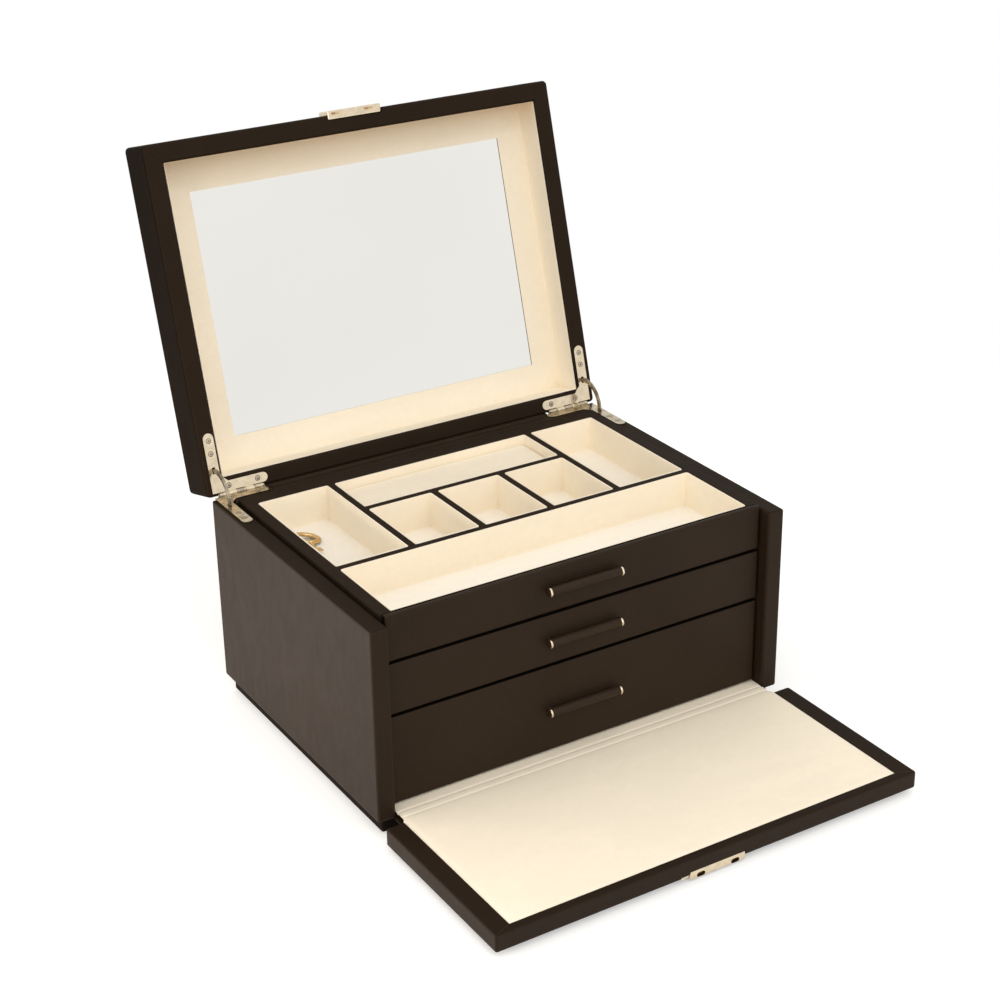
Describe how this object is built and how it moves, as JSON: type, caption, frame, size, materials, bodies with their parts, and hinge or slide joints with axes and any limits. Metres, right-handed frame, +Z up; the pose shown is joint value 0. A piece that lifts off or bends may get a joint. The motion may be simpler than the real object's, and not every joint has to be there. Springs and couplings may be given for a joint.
{
  "type": "jewelry box",
  "caption": "Tiered leather-covered jewelry box with a mirror lid, drop-front flap, lined compartments and sliding drawers.",
  "frame": {"origin": "centre of the case's underside, on the surface it stands on", "axes": "+Z up, the drawer fronts face -Y, +X to the right of someone facing the fronts"},
  "size_m": [0.3232, 0.4727, 0.3893],
  "materials": {
    "leather": "smooth dark brown leather over board",
    "covered_board": "board covered in dark brown leather paper",
    "suede": "cream suede cloth",
    "felt": "dark felt",
    "gold_metal": "polished pale gold plate",
    "mirror_glass": "silvered mirror"
  },
  "bodies": {
    "case": {"side_panel_left": "leather", "side_panel_right": "leather", "back_panel": "leather", "floor_board": "covered_board", "shelf_lower": "covered_board", "shelf_upper": "covered_board", "base_plinth": "covered_board", "base_felt": "felt", "hinge_strip_suede": "suede", "hinge_spine_leather": "leather", "case_hinge_leaf_left": "gold_metal", "case_hinge_leaf_right": "gold_metal", "hinge_pin_left": "gold_metal", "hinge_pin_right": "gold_metal", "lid_spine_leather": "leather"},
    "lid": {"lid_frame": "leather", "lid_lining": "suede", "mirror": "mirror_glass", "lid_catch": "gold_metal", "lid_hinge_leaf_left": "gold_metal", "lid_hinge_leaf_right": "gold_metal"},
    "stay_left": {"lid_stay_left": "gold_metal"},
    "stay_right": {"lid_stay_right": "gold_metal"},
    "flap": {"flap_board": "leather", "flap_lining": "suede", "lock_case": "gold_metal"},
    "lock_slide": {"lock_slide": "gold_metal"},
    "lock_cylinder": {"lock_cylinder": "gold_metal"},
    "bottom_drawer": {"bottom_drawer_front": "leather", "bottom_drawer_body": "covered_board", "bottom_drawer_handle_bar": "leather", "bottom_drawer_handle_post_left": "gold_metal", "bottom_drawer_handle_post_right": "gold_metal", "bottom_drawer_lining": "suede"},
    "middle_drawer": {"middle_drawer_front": "leather", "middle_drawer_body": "covered_board", "middle_drawer_handle_bar": "leather", "middle_drawer_handle_post_left": "gold_metal", "middle_drawer_handle_post_right": "gold_metal", "middle_drawer_lining": "suede"},
    "top_drawer": {"top_drawer_front": "leather", "top_drawer_body": "covered_board", "top_drawer_handle_bar": "leather", "top_drawer_handle_post_left": "gold_metal", "top_drawer_handle_post_right": "gold_metal", "top_drawer_insert": "suede", "top_drawer_rim": "leather", "ring_pad": "suede", "key": "gold_metal"}
  },
  "joints": [
    {"name": "lid_hinge", "type": "hinge", "parent": "case", "child": "lid", "pos_m": [0, 0.1162, 0.15105], "axis": [-1, 0, 0], "range_deg": [-105.5, 0], "deforming": ["lid_spine_leather"]},
    {"name": "stay_left_turn", "type": "hinge", "parent": "case", "child": "stay_left", "pos_m": [-0.1537, 0.1162, 0.15105], "axis": [-1, 0, 0], "range_deg": [-52.75, 0]},
    {"name": "stay_right_turn", "type": "hinge", "parent": "case", "child": "stay_right", "pos_m": [0.1537, 0.1162, 0.15105], "axis": [-1, 0, 0], "range_deg": [-52.75, 0]},
    {"name": "flap_hinge", "type": "hinge", "parent": "case", "child": "flap", "pos_m": [0, -0.1197, 0.0118], "axis": [1, 0, 0], "range_deg": [-90, 0], "deforming": ["hinge_strip_suede", "hinge_spine_leather"]},
    {"name": "top_drawer_slide", "type": "slide", "parent": "case", "child": "top_drawer", "axis": [0, -1, 0], "range_m": [0, 0.15]},
    {"name": "middle_drawer_slide", "type": "slide", "parent": "case", "child": "middle_drawer", "axis": [0, -1, 0], "range_m": [0, 0.15]},
    {"name": "bottom_drawer_slide", "type": "slide", "parent": "case", "child": "bottom_drawer", "axis": [0, -1, 0], "range_m": [0, 0.15]},
    {"name": "lock_slide_press", "type": "slide", "parent": "flap", "child": "lock_slide", "axis": [1, 0, 0], "range_m": [0, 0.0018], "stiffness_N_per_m": 200},
    {"name": "lock_turn", "type": "hinge", "parent": "flap", "child": "lock_cylinder", "pos_m": [0, -0.2424, 0.0031], "axis": [0, 0, -1], "range_deg": [0, 90]}
  ],
  "couplings": [
    {"joint": "stay_left_turn", "follows": "lid_hinge", "ratio": 0.5},
    {"joint": "stay_right_turn", "follows": "lid_hinge", "ratio": 0.5}
  ]
}
